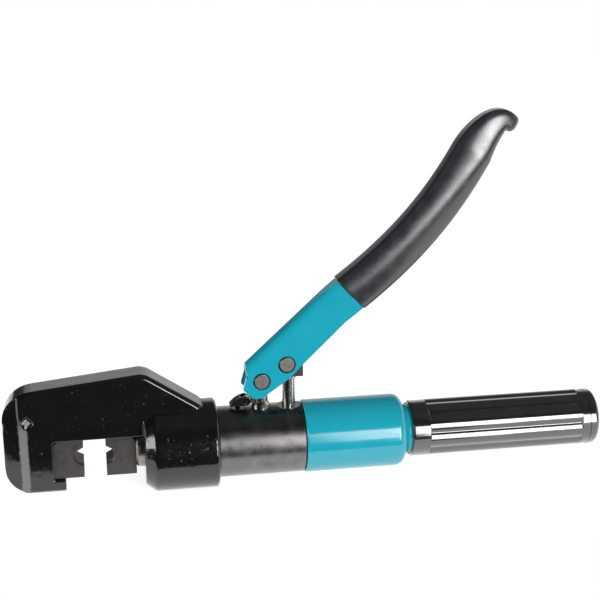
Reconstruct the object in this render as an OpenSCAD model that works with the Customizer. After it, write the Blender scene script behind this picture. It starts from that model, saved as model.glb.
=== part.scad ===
// Hand hydraulic crimping tool: C-yoke head with a pair of dies, ram, hand pump with lever,
// valve body, oil reservoir and handle.
// X runs along the ram axis, from the fixed jaw (-X) to the handle end (+X). Z points to the lever.
// The origin is on the ram axis, in the seam between the pump body and the reservoir.

/* [Fits] */
// Radial gap of a shaft that runs in its hole
run_gap = 0.05; // [0.02:0.01:0.1]
// Radial gap of a piece that is screwed or pressed into its seat
seat_gap = 0.03; // [0.02:0.01:0.06]
// Gap between pieces that pass each other
clear_gap = 0.3; // [0.2:0.05:0.4]

/* [Head yoke] */
// Thickness of the yoke across its flat faces
yoke_t = 17.2; // [15.5:0.1:20]
// Chamfer round the edges of the flat faces
yoke_chamfer = 1.7; // [0.8:0.1:2.4]
// Length of the jaw behind the fixed die
jaw_len = 24.7; // [20:0.1:30]
// Depth of the jaw below the ram axis
jaw_drop = 18.8; // [17:0.1:22]
// Height of the yoke top over the axis at the jaw
yoke_front_h = 35.3; // [30:0.1:38]
// Height of the yoke top over the axis at its peak
yoke_peak_h = 43; // [39:0.1:46]
// How far the peak stands in front of the collar
yoke_peak_ahead = -1.4; // [-3:0.1:6]
// How far in front of the back of the collar the top slope lands on it
yoke_tail = 8; // [4:0.1:14]
// Height of the web underside over the axis
web_under = 9.2; // [8.5:0.1:11]
// Length of the ledge under the fixed die
ledge_len = 6; // [3:0.1:8]
// Radius of the top corner of the jaw
jaw_top_r = 17; // [8:0.5:18]
// Radius of the lower front corner of the jaw
jaw_toe_r = 12; // [6:0.5:13]
// Radius of the bend at the peak
peak_r = 10; // [5:0.5:14]
// Radius of the inner corner over the fixed die
window_r = 2; // [1:0.1:3]
// Half width of the flat on the nose of the jaw
nose_half = 3; // [1:0.1:4]
// Length of the side facets of the nose
nose_facet_len = 8.2; // [4:0.1:9]
// Length of the stopped relief behind the nose facets
relief_len = 4.5; // [4:0.1:8]
// Depth of the stopped relief
relief_depth = 3; // [0.8:0.1:3.6]
// Height over the axis where the nose facets and the relief stop
relief_top = 17; // [12:0.5:22]
// Radius of the collar
collar_r = 23.6; // [22.5:0.1:26]
// Length of the collar
collar_len = 38.4; // [37:0.1:44]
// Length of the cone on the front of the collar
collar_cone_len = 5.4; // [3:0.1:7]
// Depth of the cone on the front of the collar
collar_cone_depth = 4.2; // [2:0.1:5]
// Chamfer of the back edge of the collar
collar_edge = 1.2; // [0.5:0.1:2.5]
// Thickness of the front wall of the ram cylinder
front_wall = 5; // [4.5:0.1:6]
// Radius of the ram cylinder bore
bore_r = 16; // [15.8:0.1:17]

/* [Dies] */
// Length of a die along the axis
die_len = 15.5; // [13:0.1:18]
// Thickness of a die
die_t = 14; // [11:0.1:15]
// Depth of a die below the axis
die_drop = 11.7; // [10:0.1:13]
// Width of the crimp nest across its corners
nest_corners = 8.8; // [5:0.1:10]
// Radius of the countersink round the nest
nest_sink_r = 5.3; // [5.1:0.1:6.5]
// Depth of the countersink round the nest
nest_sink_depth = 1.1; // [0.5:0.1:2]
// Radius of the stub that holds a die in its seat
stub_r = 4; // [3:0.1:4.5]
// Length of that stub
stub_len = 11; // [8:0.1:12]

/* [Ram] */
// Radius of the ram rod
rod_r = 10; // [9.5:0.1:10.4]
// Stroke of the ram
ram_stroke = 11.3; // [10.5:0.1:11.6]
// How far the rod stands out of the collar with the ram home
ram_reach = 4.3; // [3:0.1:6]
// Length of the piston
piston_len = 7.6; // [7:0.1:8.5]
// Wire radius of the return spring
ram_spring_wire_r = 0.8; // [0.6:0.05:0.85]
// Turns of the return spring
ram_spring_turns = 3; // [2:0.25:3]

/* [Pump body] */
// Radius of the pump body
body_r = 18.7; // [18.2:0.1:19]
// Visible length of the pump body
body_len = 45.6; // [44:0.1:50]
// Length of the threaded nose in the collar
nose_len = 7; // [6.5:0.1:7.5]
// Radius of the threaded spigot in the reservoir
spigot_r = 17; // [16.6:0.1:17.2]
// Length of that spigot
spigot_len = 9; // [7:0.1:11]
// Radius of the boss that the bladder is clamped on
boss_r = 10; // [9.8:0.1:11]
// Length of that boss
boss_len = 8; // [7.5:0.1:10]

/* [Hand pump] */
// Radius of the pump plunger
plunger_r = 3.6; // [3:0.1:3.7]
// Distance of the plunger axis in front of the seam
plunger_ahead = 7; // [6.6:0.1:8]
// Length of the plunger head along the tool
head_block_len = 14.6; // [12:0.1:16]
// Height of the plunger head
head_block_h = 15.2; // [13:0.1:16]
// Radius of the gland
gland_r = 6; // [5.5:0.1:6.3]
// Length of the gland
gland_len = 7.6; // [6:0.1:7.8]
// Height of the packing under the gland
packing_h = 3; // [2:0.1:3.2]

/* [Lever] */
// Distance of the fulcrum in front of the seam
fulcrum_ahead = 21.8; // [21.4:0.1:22.2]
// Height of the fulcrum over the axis
fulcrum_h = 34.5; // [34:0.1:36]
// Distance from the fulcrum to the plunger pin
pin_pitch = 15.8; // [15.4:0.1:16.2]
// Rise of the plunger pin from the fulcrum, in degrees
pin_rise = 32.6; // [30:0.1:35]
// Rise of the raised lever, in degrees
lever_rise = 42.5; // [38:0.5:45]
// Swing of the lever, in degrees
lever_swing = 38; // [30:1:38]
// Radius of the lever pins
pin_r = 4; // [3.5:0.1:4.2]
// Width of the channel
channel_w = 13; // [12.6:0.1:16]
// Wall of the channel
channel_wall = 2; // [1.5:0.1:2.2]
// Height of the channel spine over the fulcrum
spine_h = 11.5; // [11:0.1:13]
// Depth of the channel cheeks below the fulcrum
cheek_drop = 8.6; // [8:0.1:9.6]
// Depth of the channel cheeks below the fulcrum where the channel starts to lean
cheek_end_drop = 7.7; // [7:0.1:8.4]
// Radius of the cheek ends round the fulcrum
cheek_nose_r = 10.8; // [10:0.1:11.2]
// Length of the bare channel from the fulcrum
channel_len = 64.5; // [58:0.5:68]
// Length of the end of the channel that leans down to the grip
lean_len = 12; // [8:0.5:16]
// How far that end leans down
lean_drop = 1; // [0.4:0.1:1.2]
// Outer bend radius of the channel
bend_r = 4; // [2.4:0.1:4.2]
// Width of the grip
grip_w = 15.4; // [14.8:0.1:18]
// Depth of the grip where it starts
grip_depth = 22.2; // [20.6:0.1:23]
// Length of the grip, from the bare channel to the start of its hook
grip_len = 95.5; // [88:0.5:100]
// Rise of the grip at the start of its hook
grip_lift = 10.2; // [8:0.1:12]
// Length of the hook along the lever
hook_len = 24; // [20:0.5:28]
// Depth of the grip at the tip of the hook
tip_depth = 9.2; // [8:0.1:11]

/* [Release valve] */
// Distance of the release pin in front of the fulcrum
release_ahead = 12.2; // [11.8:0.1:12.6]
// Distance of the trigger pivot in front of the fulcrum
trigger_pivot_ahead = 7.9; // [7.7:0.1:8.2]
// Height of the trigger pivot over the top of the body
trigger_pivot_up = 4; // [3.8:0.1:4.4]
// Length of the trigger from its pivot to its tip
trigger_len = 8.8; // [7.5:0.1:10]
// Height of the trigger
trigger_h = 5.1; // [4.8:0.1:5.6]
// Width of the trigger
trigger_w = 6.4; // [6:0.1:7]
// Gap between the trigger and the top of the body
trigger_lift = 1.7; // [1.5:0.1:1.9]
// Radius of the release pin
release_pin_r = 1.5; // [1.3:0.05:1.6]

/* [Reservoir] */
// Radius of the reservoir barrel
shell_r = 19.4; // [19:0.1:21]
// Length of the reservoir barrel
shell_len = 54.3; // [50:0.1:60]
// Thickness of the closed end of the barrel
shell_end = 4; // [3:0.1:5]
// Radius of the shoulder of the barrel
shoulder_r = 5; // [3:0.1:5.4]
// Radius of the neck
neck_r = 13.7; // [13:0.1:13.9]
// Length of the neck
neck_len = 12.5; // [10:0.5:12.5]

/* [Handle] */
// Gap between the barrel and the handle sleeve
neck_gap = 3.5; // [2:0.1:5]
// Radius of the handle sleeve
handle_r = 15.2; // [15:0.1:17]
// Length of the handle sleeve
handle_len = 104.2; // [95:0.1:115]
// Number of ribs round the sleeve
rib_count = 9; // [8:1:11]
// Radius of the rounded back of a rib
rib_r = 6.2; // [5.8:0.1:8]
// Length of the plain bands at both ends of the sleeve
band_len = 9.5; // [7:0.1:12]
// Radius of the tube inside the sleeve
tube_r = 10.4; // [9.8:0.1:10.6]
// Wall of that tube
tube_wall = 2; // [1.5:0.1:2.5]

/* [Hidden] */
$fn = 64;

// How far a cut runs past the piece it cuts
overrun = 1;
// Axial play of a ring in its groove and of a ball on its seat
play = 0.05;
// Arc points of a rounded outline corner
corner_steps = 8;
// Rings in a spring turn, and sides of its wire
rings_per_turn = 16;
wire_sides = 6;

// Colours
black_paint = "#17181a";
black_oxide = "#2b2c2e";
die_steel = "#5b5650";
bright_steel = "#c9ccd0";
pin_steel = "#8d8f91";
teal_paint = "#2aa9c4";
black_vinyl = "#26282b";
black_gloss = "#1b1c1e";
seal_rubber = "#3a3a3a";
nylon_white = "#e4e0d4";
brass_yellow = "#b79a55";

// Stations along the axis
closed_gap = 0.2;
crimp_gap = ram_stroke + closed_gap;
collar_back_x = -body_len;
collar_front_x = collar_back_x - collar_len;
bore_front_x = collar_front_x + front_wall;
nose_x = collar_back_x - nose_len;
piston_gap = 0.4;
piston_back_x = nose_x - piston_gap;
piston_front_x = piston_back_x - piston_len;
ram_face_x = collar_front_x - ram_reach;
moving_face_x = ram_face_x - die_len;
fixed_face_x = moving_face_x - crimp_gap;
jaw_face_x = fixed_face_x - die_len;
yoke_front_x = jaw_face_x - jaw_len;
boss_x = spigot_len + boss_len;
sleeve_x = shell_len + neck_gap;
sleeve_end_x = sleeve_x + handle_len;
neck_end_x = shell_len + neck_len;
plunger_x = -plunger_ahead;
fulcrum_x = -fulcrum_ahead;
release_x = fulcrum_x - release_ahead;
trigger_pivot_x = fulcrum_x - trigger_pivot_ahead;

// Dies and what holds them
die_play = 0.4;
die_top = web_under - die_play;
die_corner_cut = window_r + die_play;
nest_half = nest_corners / 2;
stub_hole_len = stub_len + clear_gap;
stub_groove_len = 1.3;
stub_groove_depth = 0.7;
stub_groove_back = 3;
die_ring_proud = 0.5;
die_screw_r = 2.5;
die_screw_len = 8;
die_screw_tip_r = 0.5;
socket_share = 0.55;
socket_depth = 2;

// Ram
piston_r = bore_r - run_gap;
piston_groove_len = 4.2;
piston_groove_depth = 2.2;
piston_seal_len = 2.5;
piston_groove_x = piston_front_x + (piston_len - piston_groove_len) / 2;
rod_chamfer = 1;
wiper_len = 2.2;
wiper_depth = 1.8;
wiper_x = collar_front_x + (front_wall - wiper_len) / 2;

// Pump body, with the seats of the lever post, the gland and the seals
body_chamfer = 0.5;
nose_r = bore_r - seat_gap;
o_ring_r = 0.95;
body_ring_x = nose_x + nose_len / 2;
shell_ring_x = spigot_len / 2;
post_sink = 1.2;
post_seat_z = body_r - post_sink;
post_bead_r = 5;
stud_r = 4;
stud_len = 9.5;
gland_sink = 0.3;
gland_top_z = body_r - gland_sink;
gland_low_z = gland_top_z - gland_len;
packing_seat_z = gland_low_z - packing_h - 2 * play;
plunger_tip_z = 4;
pump_floor_gap = 1;
plunger_stroke = pin_pitch * (sin(pin_rise) - sin(pin_rise - lever_swing));
pump_floor_z = plunger_tip_z - plunger_stroke - pump_floor_gap;

// Oil lines in the body, by their distances from the axis
line_r = 0.8;
side_line_y = 4.8;
return_line_z = 6.1;
pressure_line_z = 3;
vent_line_z = -6.2;
pump_line_z = -5;
delivery_line_y = -3.8;
release_cross_z = 7.2;

// Valves
ball_r = 2.2;
pocket_r = 2.5;
ball_seat_r = 1.2;
valve_wire_r = 0.3;
valve_coil_r = 1.6;
valve_turns = 3;
long_valve_turns = 7;
plug_sink = 0.6;
// From a ball's centre to its seat, and to the last turn of the spring behind it
ball_to_seat = sqrt(pow(ball_r, 2) - pow(ball_seat_r, 2)) + play;
ball_to_line = sqrt(pow(ball_r, 2) - pow(line_r, 2)) + play;
ball_to_coil = sqrt(pow(ball_r, 2) - pow(valve_coil_r - valve_wire_r, 2)) + valve_wire_r + play;
delivery_pocket_len = 11.6;
delivery_plug_len = 3;
delivery_seat_x = nose_x + delivery_pocket_len;
delivery_ball_x = delivery_seat_x - ball_to_line;
suction_floor_x = 1;
suction_seat_len = 6;
screen_t = 1.2;
screen_rim = 0.8;
screen_r = boss_r - screen_rim;
screen_x = boss_x - screen_t;
screen_holes = 6;
screen_hole_r = 1;
screen_circle_share = 0.62;
suction_seat_x = screen_x - suction_seat_len;
suction_ball_x = suction_seat_x - ball_to_seat;
relief_back = 12.6;
relief_x = nose_x + relief_back;
relief_seat_z = -1;
relief_ball_z = relief_seat_z - ball_to_line;
valve_plug_top_z = -11;
release_seat_z = 6;
release_ball_z = release_seat_z - ball_to_seat;
release_bush_r = 3.6;
release_bush_low_z = 10;
release_tip_r = 0.9;
release_free_gap = 0.7;
release_crown_r = 0.4;
// Free travel of the trigger before it meets the pin
release_press_gap = 0.65;

// Trigger
trigger_low_z = body_r + trigger_lift;
trigger_pivot_z = body_r + trigger_pivot_up;
trigger_hub_r = trigger_pivot_up - trigger_lift;
trigger_pin_r = 1.25;
tongue_t = 3;
tongue_r = 2.1;
tongue_h = 3.4;
trigger_pin_proud = 0.3;
trigger_curve_shares = [[1, 0], [0.7, 0.6], [0.4, 0.96], [0, 1]];

// Lever
fork_gap = channel_w / 2 - channel_wall;
inner_half = fork_gap - clear_gap;
slot_play = 0.35;
slot_low = pin_pitch * cos(pin_rise) - fulcrum_ahead + plunger_ahead;
slot_high = pin_pitch - fulcrum_ahead + plunger_ahead;
plunger_pin_x = fulcrum_x + pin_pitch * cos(pin_rise);
plunger_pin_z = fulcrum_h + pin_pitch * sin(pin_rise);
head_low_z = plunger_pin_z - head_block_h / 2;
rod_flange_h = 1.6;
rod_flange_r = 4.3;
rod_neck_r = 2.6;
rod_neck_len = 2.4;
post_r = 3.9;
post_eye_r = 6;
bead_h = 3.6;
pin_proud = 0.2;
pin_tail = 2.2;
clip_t = 0.9;
clip_r = 5.8;
clip_groove_depth = 0.6;
pin_sink = 0.5;
tang_len = 58;
tang_w = 10.6;
tang_h = 11.6;
tang_mid_v = 0.3;
tang_lap = 6;
// Cheek outline in front of the spine, as shares of the radius round the fulcrum
cheek_front_shares = [[-0.13, 1.02], [-0.38, 0.68], [-0.94, 0.34]];
cheek_under_shares = [[-0.87, -0.43], [-0.52, -0.64]];
belly_u_share = 1.05;
belly_drop_share = 1.07;
belly_end_share = 2;
cheek_corner_shares = [0, 0.25, 0.12, 0.33, 0.25, 1, 1, 0, 0, 0, 0, 0];
lean_u = channel_len - lean_len;

// Grip, swept along two curves given as shares of its length and rise, and of the hook's length
grip_lip = 1;
grip_start_v = spine_h - lean_drop + grip_lip - grip_depth / 2;
grip_curve_shares = [[0, 0], [0.362, -0.307], [0.658, -0.081], [1, 1]];
hook_curve_shares = [[0, 0], [0.42, 0.13], [0.92, 0.22], [1, -0.11]];
grip_end_share = 0.93;
tip_w_share = 0.65;
tip_round_share = 0.42;
grip_square_share = 0.5;
tip_angle = 86;
grip_steps = 16;
hook_steps = 10;
tip_steps = 4;
grip_sides = 24;

// Reservoir and handle
shell_bore_r = spigot_r + seat_gap;
bladder_wall = 1.3;
bladder_r = 15.6;
bladder_flare = 4.5;
bladder_end_gap = 1.2;
clamp_wall = 1.4;
clamp_len = 4;
cap_r = 12;
cap_flange = 2.5;
cap_plug_len = 10;
tube_end_gap = 1;
sleeve_edge = 2.4;
rib_turn_share = 0.525;
rib_drop = 0.1;

// Shapes
function unit(v) = v / norm(v);
function turned_by(v, angle) =
    [v.x * cos(angle) - v.y * sin(angle), v.x * sin(angle) + v.y * cos(angle)];
function corner(before, point, after, radius) =
    let (
        ua = unit(before - point),
        ub = unit(after - point),
        half = acos(ua * ub) / 2,
        mid = point + unit(ua + ub) * radius / sin(half),
        start = point + ua * radius / tan(half) - mid,
        end = point + ub * radius / tan(half) - mid,
        sweep = (180 - 2 * half) * sign(cross(start, end))
    )
    radius == 0 ? [point] : [for (k = [0:corner_steps]) mid + turned_by(start, sweep * k / corner_steps)];
function rounded(points, radii) = let (n = len(points)) [for (i = [0:n - 1])
    each corner(points[(i + n - 1) % n], points[i], points[(i + 1) % n], radii[i])];
function bezier(p, t) = pow(1 - t, 3) * p[0] + 3 * t * pow(1 - t, 2) * p[1]
    + 3 * pow(t, 2) * (1 - t) * p[2] + pow(t, 3) * p[3];
function bezier_slope(p, t) = pow(1 - t, 2) * (p[1] - p[0]) + 2 * t * (1 - t) * (p[2] - p[1])
    + pow(t, 2) * (p[3] - p[2]);
function signed_pow(value, power) = sign(value) * pow(abs(value), power);

module rod_x(x, length, radius) {
    translate([x, 0, 0]) rotate([0, 90, 0]) cylinder(h = length, r = radius);
}

module rod_y(y, length, radius) {
    translate([0, y, 0]) rotate([-90, 0, 0]) cylinder(h = length, r = radius);
}

module rod_z(z, length, radius) {
    translate([0, 0, z]) cylinder(h = length, r = radius);
}

module ring_x(x, length, outer, inner) {
    difference() {
        rod_x(x, length, outer);
        rod_x(x - overrun, length + 2 * overrun, inner);
    }
}

// A turned piece: its profile is a list of [radius, x]
module turned(profile) {
    rotate([0, 90, 0]) rotate_extrude() polygon(profile);
}

module o_ring(x, mean_r) {
    translate([x, 0, 0]) rotate([0, 90, 0]) rotate_extrude() translate([mean_r, 0]) circle(o_ring_r);
}

// A plate in the XZ plane, centred on Y = 0
module side_plate(thickness) {
    rotate([90, 0, 0]) linear_extrude(thickness, center = true) children();
}

// A helical spring that rises along Z from its first to its last wire centre
module coil(length, mean_r, wire_r, turns) {
    rings = ceil(turns * rings_per_turn);
    last = rings * wire_sides;
    points = [for (i = [0:rings], j = [0:wire_sides - 1])
        let (
            turn = 360 * turns * i / rings,
            side = 360 * j / wire_sides,
            radius = mean_r + wire_r * cos(side)
        )
        [radius * cos(turn), radius * sin(turn), length * i / rings + wire_r * sin(side)]];
    walls = [for (i = [0:rings - 1], j = [0:wire_sides - 1], half = [0, 1])
        let (
            a = i * wire_sides + j,
            b = i * wire_sides + (j + 1) % wire_sides
        )
        half == 0 ? [a, b, a + wire_sides] : [b, b + wire_sides, a + wire_sides]];
    first_cap = [for (j = [1:wire_sides - 2]) [0, j + 1, j]];
    last_cap = [for (j = [1:wire_sides - 2]) [last, last + j, last + j + 1]];
    polyhedron(points, concat(walls, first_cap, last_cap));
}

module head_yoke() {
    yoke_outline = rounded(
        [[yoke_front_x, -jaw_drop], [jaw_face_x + ledge_len, -jaw_drop], [collar_back_x - yoke_tail, 0],
            [collar_back_x - yoke_tail, collar_r], [collar_front_x - yoke_peak_ahead, yoke_peak_h],
            [yoke_front_x, yoke_front_h]],
        [jaw_toe_r, 0, 0, 0, peak_r, jaw_top_r]);
    window_low = -jaw_drop - collar_r;
    ledge_top = -die_drop - die_play;
    window_outline = rounded(
        [[jaw_face_x, web_under], [collar_front_x, web_under], [collar_front_x, window_low],
            [jaw_face_x + ledge_len, window_low], [jaw_face_x + ledge_len, ledge_top],
            [jaw_face_x, ledge_top]],
        [window_r, 0, 0, 0, 0, 0]);
    half_t = yoke_t / 2;
    facet_x = yoke_front_x + nose_facet_len;
    color(black_paint) difference() {
        union() {
            hull() {
                side_plate(yoke_t - 2 * yoke_chamfer) polygon(yoke_outline);
                side_plate(yoke_t) offset(delta = -yoke_chamfer) polygon(yoke_outline);
            }
            turned([[0, collar_front_x], [collar_r - collar_cone_depth, collar_front_x],
                [collar_r, collar_front_x + collar_cone_len], [collar_r, collar_back_x - collar_edge],
                [collar_r - collar_edge, collar_back_x], [0, collar_back_x]]);
        }
        side_plate(collar_r * 2 + yoke_t) polygon(window_outline);
        for (side = [-1, 1]) {
            translate([0, 0, -jaw_drop - overrun])
                linear_extrude(jaw_drop + relief_top + overrun)
                polygon([[yoke_front_x - overrun, side * nose_half], [yoke_front_x, side * nose_half],
                    [facet_x, side * (half_t - relief_depth)], [facet_x, side * yoke_t],
                    [yoke_front_x - overrun, side * yoke_t]]);
            translate([0, 0, -jaw_drop - overrun])
                linear_extrude(jaw_drop + relief_top + overrun)
                polygon([[facet_x, side * (half_t - relief_depth)], [facet_x + relief_len, side * half_t],
                    [facet_x + relief_len, side * yoke_t], [facet_x, side * yoke_t]]);
        }
        rod_x(jaw_face_x - stub_hole_len, stub_hole_len + overrun, stub_r + seat_gap);
        translate([jaw_face_x - stub_len + stub_groove_back, 0, 0])
            rod_z(-jaw_drop - overrun, jaw_drop + overrun, die_screw_r + seat_gap);
        rod_x(ram_face_x - ram_stroke - clear_gap, collar_front_x - ram_face_x + ram_stroke + clear_gap,
            rod_r + clear_gap);
        rod_x(collar_front_x - overrun, front_wall + 2 * overrun, rod_r + run_gap);
        rod_x(wiper_x, wiper_len, rod_r + run_gap + wiper_depth);
        rod_x(bore_front_x, collar_back_x - bore_front_x + overrun, bore_r);
    }
}

// A die with its nest on the -X face at x = 0 and its stub on the +X side
module die() {
    nest = [[-overrun, nest_half], [0, nest_half], [nest_half * sin(60), nest_half * cos(60)],
        [nest_half * sin(60), -nest_half * cos(60)], [0, -nest_half], [-overrun, -nest_half]];
    outline = [[0, -die_drop], [die_len, -die_drop], [die_len, die_top - die_corner_cut],
        [die_len - die_corner_cut, die_top], [0, die_top]];
    groove_x = die_len + stub_len - stub_groove_back - stub_groove_len / 2;
    color(die_steel) difference() {
        union() {
            side_plate(die_t) polygon(outline);
            rod_x(die_len - overrun, stub_len + overrun, stub_r);
        }
        side_plate(die_t + 2 * overrun) polygon(nest);
        for (side = [-1, 1]) {
            translate([0, side * (die_t / 2 - nest_sink_depth), 0]) rotate([-90 * side, 0, 0])
                cylinder(h = nest_sink_depth, r1 = nest_sink_r - nest_sink_depth, r2 = nest_sink_r);
        }
        ring_x(groove_x, stub_groove_len, stub_r + overrun, stub_r - stub_groove_depth);
    }
}

module fixed_die() {
    translate([fixed_face_x, 0, 0]) mirror([1, 0, 0]) die();
}

module moving_die() {
    translate([moving_face_x, 0, 0]) die();
}

module fixed_die_screw() {
    top_z = -stub_r - seat_gap;
    color(black_oxide) translate([jaw_face_x - stub_len + stub_groove_back, 0, 0]) difference() {
        union() {
            rod_z(top_z - die_screw_len, die_screw_len, die_screw_r);
            rod_z(top_z - overrun, overrun + stub_groove_depth - play, die_screw_tip_r);
        }
        translate([0, 0, top_z - die_screw_len - overrun])
            cylinder(h = socket_depth + overrun, r = die_screw_r * socket_share, $fn = 6);
    }
}

module moving_die_ring() {
    color(pin_steel)
        ring_x(ram_face_x + stub_len - stub_groove_back - stub_groove_len / 2 + play,
            stub_groove_len - 2 * play, stub_r + die_ring_proud, stub_r - stub_groove_depth + seat_gap);
}

module rod_wiper() {
    color(seal_rubber)
        ring_x(wiper_x + play, wiper_len - 2 * play, rod_r + run_gap + wiper_depth - seat_gap,
            rod_r + run_gap);
}

module ram() {
    groove_end_x = piston_groove_x + piston_groove_len;
    floor_r = piston_r - piston_groove_depth;
    ring_x_mid = ram_face_x + stub_len - stub_groove_back;
    color(pin_steel) difference() {
        turned([[0, ram_face_x], [rod_r - rod_chamfer, ram_face_x], [rod_r, ram_face_x + rod_chamfer],
            [rod_r, piston_front_x], [piston_r, piston_front_x], [piston_r, piston_groove_x],
            [floor_r, piston_groove_x], [floor_r, groove_end_x], [piston_r, groove_end_x],
            [piston_r, piston_back_x], [0, piston_back_x]]);
        rod_x(ram_face_x - overrun, stub_hole_len + overrun, stub_r + seat_gap);
        rod_x(ring_x_mid - stub_groove_len / 2, stub_groove_len, stub_r + die_ring_proud + seat_gap);
    }
}

module piston_seal() {
    seal_x = piston_groove_x + piston_groove_len - piston_seal_len;
    color(seal_rubber)
        ring_x(seal_x, piston_seal_len - play, bore_r - run_gap,
            piston_r - piston_groove_depth + seat_gap);
}

module piston_backup_ring() {
    ring_len = piston_groove_len - piston_seal_len;
    color(nylon_white)
        ring_x(piston_groove_x + play, ring_len - 2 * play, bore_r - run_gap,
            piston_r - piston_groove_depth + seat_gap);
}

module ram_return_spring() {
    room = piston_front_x - bore_front_x;
    color(pin_steel) translate([bore_front_x + ram_spring_wire_r + play, 0, 0]) rotate([0, 90, 0])
        coil(room - 2 * ram_spring_wire_r - 2 * play, (rod_r + bore_r) / 2, ram_spring_wire_r,
            ram_spring_turns);
}

// A groove for an O ring in an outer diameter
module ring_groove(x, outer) {
    ring_x(x - o_ring_r - play, 2 * o_ring_r + 2 * play, outer + overrun, outer - 2 * o_ring_r - seat_gap);
}

module pump_body() {
    color(black_oxide) difference() {
        turned([[0, nose_x], [nose_r, nose_x], [nose_r, collar_back_x],
            [body_r - body_chamfer, collar_back_x], [body_r, collar_back_x + body_chamfer],
            [body_r, -body_chamfer], [body_r - body_chamfer, 0], [spigot_r, 0], [spigot_r, spigot_len],
            [boss_r, spigot_len], [boss_r, boss_x], [0, boss_x]]);
        ring_groove(body_ring_x, nose_r);
        ring_groove(shell_ring_x, spigot_r);
        pump_bores();
        valve_bores();
        oil_lines();
    }
}

module pump_bores() {
    translate([plunger_x, 0, 0]) {
        rod_z(packing_seat_z, body_r, gland_r + seat_gap);
        rod_z(pump_floor_z, body_r, plunger_r + run_gap);
    }
    translate([fulcrum_x, 0, 0]) {
        rod_z(post_seat_z, body_r, post_bead_r + seat_gap);
        rod_z(post_seat_z - stud_len - clear_gap, body_r, stud_r + seat_gap);
    }
}

module valve_bores() {
    translate([0, delivery_line_y, pump_line_z])
        rod_x(nose_x - overrun, delivery_pocket_len + overrun, pocket_r);
    translate([0, 0, pump_line_z])
        rod_x(suction_floor_x, boss_x, pocket_r);
    rod_x(screen_x, boss_len, screen_r);
    translate([relief_x, side_line_y, 0])
        rod_z(-body_r - overrun, body_r + overrun + relief_seat_z, pocket_r);
    translate([release_x, 0, 0]) {
        rod_z(-body_r - overrun, body_r + overrun + release_seat_z, pocket_r);
        rod_z(0, body_r, ball_seat_r);
        rod_z(release_bush_low_z, body_r, release_bush_r + seat_gap);
    }
}

module oil_lines() {
    translate([0, delivery_line_y, pump_line_z])
        rod_x(delivery_seat_x - overrun, plunger_x - delivery_seat_x + overrun, line_r);
    translate([0, 0, pump_line_z])
        rod_x(plunger_x, suction_floor_x - plunger_x + overrun, line_r);
    translate([0, side_line_y, pressure_line_z])
        rod_x(nose_x - overrun, release_x - nose_x + overrun, line_r);
    translate([0, side_line_y, return_line_z])
        rod_x(release_x, boss_x - release_x, line_r);
    translate([0, side_line_y, vent_line_z])
        rod_x(relief_x, boss_x - relief_x, line_r);
    translate([relief_x, side_line_y, 0])
        rod_z(relief_seat_z - overrun, pressure_line_z - relief_seat_z + overrun, line_r);
    for (cross_z = [pressure_line_z, release_cross_z]) {
        translate([release_x, 0, cross_z])
            rod_y(0, side_line_y, line_r);
    }
}

module body_o_ring() {
    color(seal_rubber) o_ring(body_ring_x, nose_r - o_ring_r);
}

module shell_o_ring() {
    color(seal_rubber) o_ring(shell_ring_x, spigot_r - o_ring_r);
}

module valve_ball() {
    color(bright_steel) sphere(ball_r);
}

// A screwed plug with a hexagon socket on its lower end
module socket_plug(low_z, top_z) {
    color(brass_yellow) difference() {
        rod_z(low_z, top_z - low_z, pocket_r - seat_gap);
        translate([0, 0, low_z - overrun])
            cylinder(h = socket_depth + overrun, r = pocket_r * socket_share, $fn = 6);
    }
}

module delivery_ball() {
    translate([delivery_ball_x, delivery_line_y, pump_line_z]) valve_ball();
}

module delivery_spring() {
    start_x = nose_x + delivery_plug_len + valve_wire_r + play;
    color(pin_steel) translate([start_x, delivery_line_y, pump_line_z]) rotate([0, 90, 0])
        coil(delivery_ball_x - ball_to_coil - start_x, valve_coil_r, valve_wire_r, valve_turns);
}

module delivery_plug() {
    color(brass_yellow) translate([0, delivery_line_y, pump_line_z])
        ring_x(nose_x, delivery_plug_len, pocket_r - seat_gap, line_r);
}

module relief_ball() {
    translate([relief_x, side_line_y, relief_ball_z]) valve_ball();
}

module relief_spring() {
    start_z = valve_plug_top_z + valve_wire_r + play;
    color(pin_steel) translate([relief_x, side_line_y, start_z])
        coil(relief_ball_z - ball_to_coil - start_z, valve_coil_r, valve_wire_r, valve_turns);
}

module relief_screw() {
    low_z = -sqrt(pow(body_r, 2) - pow(side_line_y, 2)) + plug_sink;
    translate([relief_x, side_line_y, 0]) socket_plug(low_z, valve_plug_top_z);
}

module release_ball() {
    translate([release_x, 0, release_ball_z]) valve_ball();
}

module release_spring() {
    start_z = valve_plug_top_z + valve_wire_r + play;
    color(pin_steel) translate([release_x, 0, start_z])
        coil(release_ball_z - ball_to_coil - start_z, valve_coil_r, valve_wire_r, long_valve_turns);
}

module release_plug() {
    translate([release_x, 0, 0]) socket_plug(plug_sink - body_r, valve_plug_top_z);
}

module release_bush() {
    color(brass_yellow) translate([release_x, 0, 0]) difference() {
        rod_z(release_bush_low_z, gland_top_z - release_bush_low_z, release_bush_r);
        rod_z(release_bush_low_z - overrun, body_r, release_pin_r + run_gap);
    }
}

module release_pin() {
    top_z = trigger_low_z - release_press_gap;
    step_z = release_bush_low_z + overrun + release_free_gap;
    tip_z = release_ball_z + ball_r + release_free_gap;
    color(bright_steel) translate([release_x, 0, 0]) rotate_extrude()
        polygon([[0, tip_z], [release_tip_r, tip_z], [release_tip_r, step_z],
            [release_pin_r, step_z], [release_pin_r, top_z - release_pin_r + release_crown_r],
            [release_crown_r, top_z], [0, top_z]]);
}

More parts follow.
